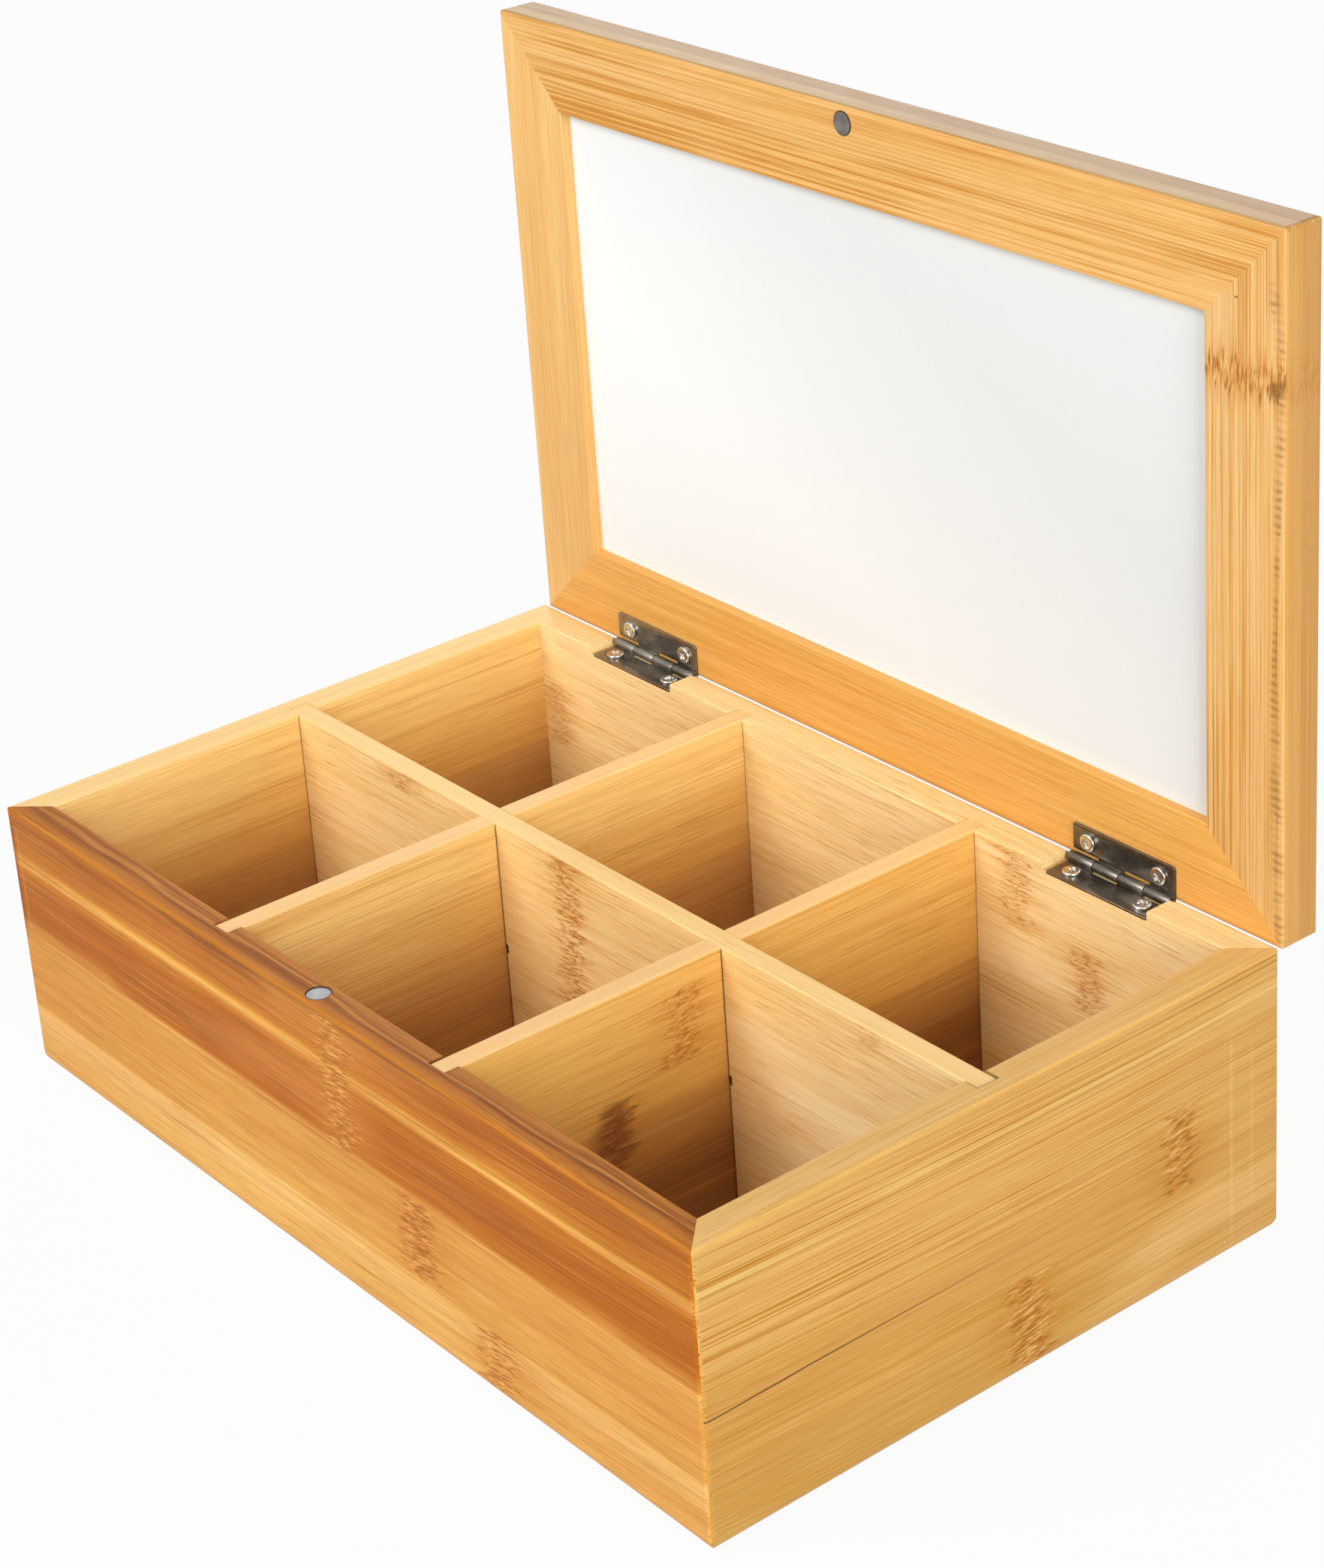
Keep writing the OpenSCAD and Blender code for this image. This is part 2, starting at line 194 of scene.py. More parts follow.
def addGrain(tree, look, board, marks, colour):
    # the grain marks, each in its own colour
    for kind, (hexValue, amount) in look["layers"].items():
        share = addNode(tree, "ShaderNodeMath", times, {0: marks[kind], 1: amount})
        if kind in ("line", "dash"):
            patchy = addNode(tree, "ShaderNodeMapRange", None, {
                "Value": marks["patch"], "To Min": 0.35, "To Max": 1.0})
            share = addNode(tree, "ShaderNodeMath", times, {0: share, 1: patchy})
        if kind == "line" and "linesOver" in look:
            # lines are fainter below this height
            upper = addNode(tree, "ShaderNodeMapRange", smooth, {
                "Value": board["height"], "From Min": look["linesOver"] - 5,
                "From Max": look["linesOver"] + 5, "To Min": 0.4, "To Max": 1.0})
            share = addNode(tree, "ShaderNodeMath", times, {0: share, 1: upper})
        colour = addNode(tree, "ShaderNodeMix", mixed, {0: share, 6: colour, 7: toLinear(hexValue)}, output=2)
    # the finest fibres: the dark ones are browner and the light ones whiter
    contrast = look.get("fibreContrast", bamboo["fibreContrast"])
    fine = addNode(tree, "ShaderNodeMix", mixed, {
        0: marks["fibre"], 6: (1 - 0.7 * contrast, 1 - contrast, 1 - 1.8 * contrast, 1),
        7: (1 + 0.6 * contrast, 1 + contrast, 1 + 1.6 * contrast, 1)}, output=2)
    return addNode(tree, "ShaderNodeMix", multiplied, {0: 1.0, 6: colour, 7: fine}, output=2)


def addKnuckles(tree, look, board, marks, colour, relief):
    # a soft smear with darker fibres leading into it, and in its middle short cut fibre bundles,
    # some light and some dark; the rows start and stop unevenly
    # (along, low, high, half width, strength, and for a stained one its colour and amount)
    if not look.get("knuckles"):
        return colour, relief
    leaning = addNode(tree, "ShaderNodeVectorRotate", {"rotation_type": "Y_AXIS"}, {
        "Vector": board["grain"], "Angle": math.radians(bamboo["toothLean"])})
    toothLong, toothWide = look.get("tooth", bamboo["tooth"])
    toothed = addNode(tree, "ShaderNodeMapping", None, {
        "Vector": leaning, "Location": (look["seed"], 0, look["seed"] * 0.7),
        "Scale": (1 / toothLong, 1 / toothWide, 1 / toothWide)})
    teeth = addNode(tree, "ShaderNodeTexNoise", None, {
        "Vector": toothed, "Scale": 1.0, "Detail": 1.5, "Roughness": 0.55})
    lightTeeth = addNode(tree, "ShaderNodeMapRange", smooth, {
        "Value": teeth, "From Min": 0.55, "From Max": 0.66})
    darkTeeth = addNode(tree, "ShaderNodeMapRange", smooth, {
        "Value": teeth, "From Min": 0.49, "From Max": 0.4})
    tailLong, tailWide = bamboo["tail"]
    tailed = addNode(tree, "ShaderNodeMapping", None, {
        "Vector": board["grain"], "Location": (0, 0, look["seed"]),
        "Scale": (1 / tailLong, 1 / tailWide, 1 / tailWide)})
    tails = addNode(tree, "ShaderNodeTexNoise", None, {"Vector": tailed, "Scale": 1.0, "Detail": 2.0})
    tails = addNode(tree, "ShaderNodeMapRange", smooth, {"Value": tails, "From Min": 0.47, "From Max": 0.62})
    rowed = addNode(tree, "ShaderNodeMapping", None, {"Vector": board["grain"], "Scale": (0.02, 0.5, 0.5)})
    row = addNode(tree, "ShaderNodeTexNoise", None, {
        "Vector": rowed, "Scale": 1.0, "Detail": 3.0, "Roughness": 0.65})
    ragged = addNode(tree, "ShaderNodeMapRange", None, {
        "Value": row, "From Min": 0.3, "From Max": 0.7,
        "To Min": -bamboo["ragged"], "To Max": bamboo["ragged"]})
    shifted = addNode(tree, "ShaderNodeMath", plus, {0: board["along"], 1: ragged})
    for at, low, high, half, strength, *stain in look["knuckles"]:
        offset = addNode(tree, "ShaderNodeMath", minus, {0: shifted, 1: at})
        offset = addNode(tree, "ShaderNodeMath", absolute, {0: offset})
        core = addNode(tree, "ShaderNodeMapRange", smooth, {
            "Value": offset, "From Min": half * 0.5, "From Max": half * 1.25, "To Min": 1.0, "To Max": 0.0})
        halo = addNode(tree, "ShaderNodeMapRange", smooth, {
            "Value": offset, "From Min": half * 0.3, "From Max": half * 3.2, "To Min": 1.0, "To Max": 0.0})
        bottomEdge = addNode(tree, "ShaderNodeMapRange", smooth, {
            "Value": board["level"], "From Min": low - 0.8, "From Max": low + 1.2})
        topEdge = addNode(tree, "ShaderNodeMapRange", smooth, {
            "Value": board["level"], "From Min": high - 1.2, "From Max": high + 0.8,
            "To Min": strength, "To Max": 0.0})
        inStrip = addNode(tree, "ShaderNodeMath", times, {0: bottomEdge, 1: topEdge})
        fill, fillAmount = stain or (look["halo"], 0.35)
        for spread, pattern, hexValue, amount in (
                (halo, marks["patch"], look["halo"], 0.35), (halo, tails, look["halo"], 0.75),
                (core, 1.0, fill, fillAmount),
                (core, lightTeeth, look["lightTooth"], 0.7 * (1 - fillAmount)),
                (core, darkTeeth, look["darkTooth"], 0.85)):
            share = addNode(tree, "ShaderNodeMath", times, {0: spread, 1: pattern})
            share = addNode(tree, "ShaderNodeMath", times, {0: share, 1: inStrip})
            share = addNode(tree, "ShaderNodeMath", times, {0: share, 1: amount})
            colour = addNode(tree, "ShaderNodeMix", mixed, {
                0: share, 6: colour, 7: toLinear(hexValue)}, output=2)
        # the dark teeth are a little lower than the wood
        relief = addNode(tree, "ShaderNodeMath", timesPlus, {0: share, 1: -0.6, 2: relief})
    return colour, relief


def addScuffs(tree, look, board, marks, colour):
    # marks of wear across the grain: (along, low, high, half width, colour, amount)
    for at, low, high, half, hexValue, amount in look.get("scuffs", ()):
        offset = addNode(tree, "ShaderNodeMath", minus, {0: board["along"], 1: at})
        offset = addNode(tree, "ShaderNodeMath", absolute, {0: offset})
        near = addNode(tree, "ShaderNodeMapRange", None, {
            "Value": offset, "From Min": half * 0.4, "From Max": half, "To Min": amount, "To Max": 0.0})
        middle = addNode(tree, "ShaderNodeMath", minus, {0: board["height"], 1: (low + high) / 2})
        middle = addNode(tree, "ShaderNodeMath", absolute, {0: middle})
        reach = addNode(tree, "ShaderNodeMapRange", None, {
            "Value": middle, "From Min": (high - low) * 0.35, "From Max": (high - low) / 2,
            "To Min": 1.0, "To Max": 0.0})
        share = addNode(tree, "ShaderNodeMath", times, {0: near, 1: reach})
        broken = addNode(tree, "ShaderNodeMapRange", None, {
            "Value": marks["line"], "To Min": 1.0, "To Max": 0.3})
        share = addNode(tree, "ShaderNodeMath", times, {0: share, 1: broken})
        colour = addNode(tree, "ShaderNodeMix", mixed, {0: share, 6: colour, 7: toLinear(hexValue)}, output=2)
    return colour


def addStreaks(tree, look, board, marks, colour):
    # stains and open glue lines along the grain
    # (height, half width, fades from, fades to, colour, amount, gap of rungs)
    for at, half, fadeFrom, fadeTo, hexValue, amount, rungGap in look.get("streaks", ()):
        wobble = addNode(tree, "ShaderNodeMapRange", None, {
            "Value": marks["patch"], "To Min": -half * 0.6, "To Max": half * 0.6})
        offset = addNode(tree, "ShaderNodeMath", minus, {0: board["height"], 1: at})
        offset = addNode(tree, "ShaderNodeMath", plus, {0: offset, 1: wobble})
        offset = addNode(tree, "ShaderNodeMath", absolute, {0: offset})
        near = addNode(tree, "ShaderNodeMapRange", smooth, {
            "Value": offset, "From Min": half * 0.2, "From Max": half, "To Min": amount, "To Max": 0.0})
        fade = addNode(tree, "ShaderNodeMapRange", smooth, {
            "Value": board["along"], "From Min": fadeFrom, "From Max": fadeTo, "To Min": 1.0, "To Max": 0.0})
        share = addNode(tree, "ShaderNodeMath", times, {0: near, 1: fade})
        if rungGap:
            # saw marks hold the stain in rungs, unevenly dark
            uneven = addNode(tree, "ShaderNodeTexNoise", None, {
                "Vector": board["grain"], "Scale": 0.16, "Detail": 2.0})
            rung = addNode(tree, "ShaderNodeMath", timesPlus, {
                0: board["along"], 1: 1 / rungGap, 2: uneven})
            rung = addNode(tree, "ShaderNodeMath", {"operation": "FRACT"}, {0: rung})
            rung = addNode(tree, "ShaderNodeMath", minus, {0: rung, 1: 0.5})
            rung = addNode(tree, "ShaderNodeMath", absolute, {0: rung})
            rung = addNode(tree, "ShaderNodeMapRange", smooth, {
                "Value": rung, "From Min": 0.1, "From Max": 0.34, "To Min": 1.0, "To Max": 0.28})
            share = addNode(tree, "ShaderNodeMath", times, {0: share, 1: rung})
            uneven = addNode(tree, "ShaderNodeMapRange", smooth, {
                "Value": uneven, "From Min": 0.4, "From Max": 0.58, "To Min": 0.3})
            share = addNode(tree, "ShaderNodeMath", times, {0: share, 1: uneven})
        colour = addNode(tree, "ShaderNodeMix", mixed, {0: share, 6: colour, 7: toLinear(hexValue)}, output=2)
    return colour


def addTopFace(tree, look, board, marks, colour):
    # a board's top in other colours than its sides, from one edge to the other, where wavy streaks may show;
    # the right wall's top is painted lighter, as painted light
    if "topFace" not in look:
        return colour
    top = look["topFace"]
    wave = addNode(tree, "ShaderNodeMapRange", None, {
        "Value": marks["tone"], "To Min": -1.3, "To Max": 1.3})
    waved = addNode(tree, "ShaderNodeMath", plus, {0: board["depth"], 1: wave})
    jitter = addNode(tree, "ShaderNodeMapRange", None, {
        "Value": marks["patch"], "To Min": -0.7, "To Max": 0.7})
    waved = addNode(tree, "ShaderNodeMath", plus, {0: waved, 1: jitter})
    share = addNode(tree, "ShaderNodeMapRange", None, {
        "Value": waved, "From Min": top["from"], "From Max": top["to"]})
    across = addNode(tree, "ShaderNodeValToRGB", None, {"Fac": share}, top["stops"])
    for kind, (hexValue, amount) in look["layers"].items():
        share = addNode(tree, "ShaderNodeMath", times, {0: marks[kind], 1: amount * top.get("grain", 0.8)})
        across = addNode(tree, "ShaderNodeMix", mixed, {0: share, 6: across, 7: toLinear(hexValue)}, output=2)
    low, high = bamboo["topEdge"]
    onTop = addNode(tree, "ShaderNodeMapRange", None, {
        "Value": board["height"], "From Min": low, "From Max": high})
    onTop = addNode(tree, "ShaderNodeMath", times, {0: onTop, 1: 0.85})
    return addNode(tree, "ShaderNodeMix", mixed, {0: onTop, 6: colour, 7: across}, output=2)


def addCutFace(tree, look, board, colour):
    # duller cut face at the outer side of a rail, of two glued strips: (inner, outer, depth between them)
    if "cutFace" not in look:
        return colour
    innerStrip, outerStrip, between = look["cutFace"]
    share = addNode(tree, "ShaderNodeMapRange", None, {
        "Value": board["depth"], "From Min": between - 0.3, "From Max": between + 0.3})
    cut = addNode(tree, "ShaderNodeMix", mixed, {
        0: share, 6: toLinear(innerStrip), 7: toLinear(outerStrip)}, output=2)
    onCut = addNode(tree, "ShaderNodeMapRange", None, {
        "Value": board["height"], "From Min": look["cutFrom"], "From Max": look["cutFrom"] + 0.4,
        "To Max": 0.75})
    return addNode(tree, "ShaderNodeMix", mixed, {0: onCut, 6: colour, 7: cut}, output=2)


def addMagnetGap(tree, look, board, colour):
    # the dark gap round a let-in magnet
    # (node, its second axis, the axis it faces, the height of its face on that axis)
    if "magnet" not in look:
        return colour
    magnetNode, second, facing, faceAt = look["magnet"]
    low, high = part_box(magnetNode)
    axes = (board["along"], board["depth"], board["height"])
    radius = (high[0] - low[0]) * 500
    sideways = addNode(tree, "ShaderNodeMath", minus, {0: axes[0], 1: (low[0] + high[0]) * 500})
    upwards = addNode(tree, "ShaderNodeMath", minus, {
        0: axes[second], 1: (low[second] + high[second]) * 500})
    reach = addNode(tree, "ShaderNodeCombineXYZ", None, {0: sideways, 1: upwards})
    reach = addNode(tree, "ShaderNodeVectorMath", {"operation": "LENGTH"}, {0: reach}, output=1)
    reach = addNode(tree, "ShaderNodeMapRange", smooth, {
        "Value": reach, "From Min": radius + 0.15, "From Max": radius + 0.5, "To Min": 0.85, "To Max": 0.0})
    offFace = addNode(tree, "ShaderNodeMath", minus, {0: axes[facing], 1: faceAt})
    onFace = addNode(tree, "ShaderNodeMath", {"operation": "COMPARE"}, {0: offFace, 1: 0.0, 2: 0.3})
    share = addNode(tree, "ShaderNodeMath", times, {0: reach, 1: onFace})
    return addNode(tree, "ShaderNodeMix", mixed, {
        0: share, 6: colour, 7: toLinear(bamboo["gapShade"])}, output=2)


def addJoints(tree, look, board, colour):
    # dust and shadow in the joint round a divider's end: (along, end, amount, notch)
    low, high = bamboo["grooveEdge"]
    underTop = addNode(tree, "ShaderNodeMapRange", None, {
        "Value": board["height"], "From Min": low, "From Max": high,
        "To Min": 1.0, "To Max": look.get("topJoint", 0.0)})
    for at, end, amount, notch in look.get("joints", ()):
        offset = addNode(tree, "ShaderNodeMath", minus, {0: board["along"], 1: at})
        aside = addNode(tree, "ShaderNodeMath", absolute, {0: offset})
        aside = addNode(tree, "ShaderNodeMath", minus, {0: aside, 1: slotHalf})
        beyond = addNode(tree, "ShaderNodeMath", minus, {0: board["outward"], 1: end})
        off = addNode(tree, "ShaderNodeMath", larger, {0: aside, 1: beyond})
        off = addNode(tree, "ShaderNodeMath", absolute, {0: off})
        near = addNode(tree, "ShaderNodeMapRange", smooth, {
            "Value": off, "From Min": 0.08, "From Max": 0.36, "To Min": amount, "To Max": 0.0})
        near = addNode(tree, "ShaderNodeMath", times, {0: near, 1: underTop})
        if notch:
            # the lap slot is cut a little wide at its end
            atLap = addNode(tree, "ShaderNodeMath", minus, {0: board["height"], 1: lapHeight})
            atLap = addNode(tree, "ShaderNodeMath", absolute, {0: atLap})
            atLap = addNode(tree, "ShaderNodeMapRange", None, {
                "Value": atLap, "From Min": 1.1, "From Max": 1.6, "To Min": 1.0, "To Max": 0.0})
            beside = addNode(tree, "ShaderNodeMapRange", None, {
                "Value": offset, "From Min": slotHalf + 0.8, "From Max": slotHalf + 1.1,
                "To Min": 0.95, "To Max": 0.0})
            outside = addNode(tree, "ShaderNodeMath", {"operation": "GREATER_THAN"}, {0: offset, 1: 0.0})
            beside = addNode(tree, "ShaderNodeMath", times, {0: beside, 1: outside})
            hole = addNode(tree, "ShaderNodeMath", times, {0: atLap, 1: beside})
            near = addNode(tree, "ShaderNodeMath", larger, {0: near, 1: hole})
        colour = addNode(tree, "ShaderNodeMix", mixed, {
            0: near, 6: colour, 7: toLinear(bamboo["gapShade"])}, output=2)
    return colour


def bambooBoard(name, look):
    material, tree = newMaterial(name)
    seed = look["seed"]
    place = addNode(tree, "ShaderNodeTexCoord", output=3)
    inMm = addNode(tree, "ShaderNodeVectorMath", {"operation": "SCALE"}, {0: place, "Scale": 1000})
    along, depth, height = [
        addNode(tree, "ShaderNodeSeparateXYZ", None, {0: inMm}, output=axis) for axis in look["axes"]]

    # the grain runs a little off the board's edge and bows
    tilt, bow = look.get("drift", (0.0, 0.0))
    slope = addNode(tree, "ShaderNodeMath", timesPlus, {0: along, 1: bow, 2: tilt})
    level = addNode(tree, "ShaderNodeMath", timesPlus, {0: along, 1: slope, 2: height})
    grainPlace = addNode(tree, "ShaderNodeCombineXYZ", None, {0: along, 1: depth, 2: level})
    outward = addNode(tree, "ShaderNodeMath", times, {0: depth, 1: look.get("side", 1)})
    board = {"along": along, "depth": depth, "height": height, "level": level, "outward": outward,
             "grain": grainPlace}

    # two rails cut from one length share a seed, and their lines meet along the mitre
    slideAlong, slideLevel = look.get("slide", (0, 0))
    marks = {}
    for order, (kind, grain) in enumerate(grains.items()):
        grain = {**grain, **look.get(kind, {})}
        stretched = addNode(tree, "ShaderNodeMapping", None, {
            "Vector": grainPlace, "Scale": (1 / grain["long"], 1 / grain["wide"], 1 / grain["wide"]),
            "Location": (seed * 7.3 + order * 5.9 + slideAlong / grain["long"], seed * 3.1,
                         seed * 5.7 + order * 4.3 + slideLevel / grain["wide"])})
        noise = addNode(tree, "ShaderNodeTexNoise", None, {
            "Vector": stretched, "Scale": 1.0, "Detail": grain["detail"], "Roughness": 0.58})
        marks[kind] = addNode(tree, "ShaderNodeMapRange", smooth, {
            "Value": noise, "From Min": grain["from"], "From Max": grain["to"]})

    if "bands" in look:
        colour = addBands(tree, look, board, marks)
    else:
        colour = addNode(tree, "ShaderNodeRGB")
        colour.default_value = toLinear(look["base"])
    if "outer" in look:
        outerColour, outerFrom = look["outer"]
        share = addNode(tree, "ShaderNodeMath", {"operation": "GREATER_THAN"}, {0: outward, 1: outerFrom})
        colour = addNode(tree, "ShaderNodeMix", mixed, {
            0: share, 6: colour, 7: toLinear(outerColour)}, output=2)
    colour = addStrips(tree, look, board, colour)
    colour = addClouds(tree, look, board, marks, colour)
    colour = addGrain(tree, look, board, marks, colour)
    relief = addNode(tree, "ShaderNodeMath", minus, {0: marks["fibre"], 1: marks["line"]})
    colour, relief = addKnuckles(tree, look, board, marks, colour, relief)
    colour = addScuffs(tree, look, board, marks, colour)
    colour = addStreaks(tree, look, board, marks, colour)
    colour = addTopFace(tree, look, board, marks, colour)
    colour = addCutFace(tree, look, board, colour)
    colour = addMagnetGap(tree, look, board, colour)
    colour = addJoints(tree, look, board, colour)

    # lacquer: satin, a little duller over the light fibres
    sheen = addNode(tree, "ShaderNodeMapRange", None, {
        "Value": marks["fibre"], "To Min": bamboo["roughness"] - 0.05, "To Max": bamboo["roughness"] + 0.07})
    bump = addNode(tree, "ShaderNodeBump", None, {
        "Strength": 0.5, "Distance": bamboo["reliefMm"] / 1000, "Height": relief})
    surface = addNode(tree, "ShaderNodeBsdfPrincipled", None, {
        "Base Color": colour, "Roughness": sheen, "Normal": bump, "IOR": bamboo["ior"],
        "Specular IOR Level": look.get("specular", 0.15)})
    addNode(tree, "ShaderNodeOutputMaterial", None, {"Surface": surface})
    return material


# Straw-coloured boards of the box
straw = {
    "base": "#FBDDA2", "stripChange": 0.03,
    "layers": {"tone": ("#EFC679", 0.4), "band": ("#E9B664", 0.25), "line": ("#CC8A1E", 0.36),
               "dash": ("#BE7818", 0.5), "glint": ("#FFF6C1", 0.3)},
    "line": {"wide": 0.6}, "dash": {"long": 14, "wide": 0.36},
    "halo": "#D08A38", "lightTooth": "#FFE6A2", "darkTooth": "#B06C2E", "tooth": (2.6, 0.46),
}
# Straw boards with painted shade: browner towards the bottom, where the compartments lie in shade
strawPaintedShade = {
    **straw, "wander": 1.6,
    "bands": [(0, "#BA9A82"), (18.5, "#C2A286"), (20, "#C6A281"), (38, "#DBAA6C"), (41.5, "#E1AD65"),
              (43, "#EDB96A"), (60, "#F4C574"), (63, "#FAD082"), (79, "#FDD588")],
    "layers": {"tone": ("#E0A450", 0.22), "band": ("#CF9040", 0.22), "line": ("#B87618", 0.36),
               "dash": ("#AC6E16", 0.32), "glint": ("#FEE29E", 0.2)},
    "tone": {"long": 400}, "line": {"long": 300, "wide": 0.6}, "glint": {"long": 60},
    "dash": {"long": 14, "wide": 0.36},
}

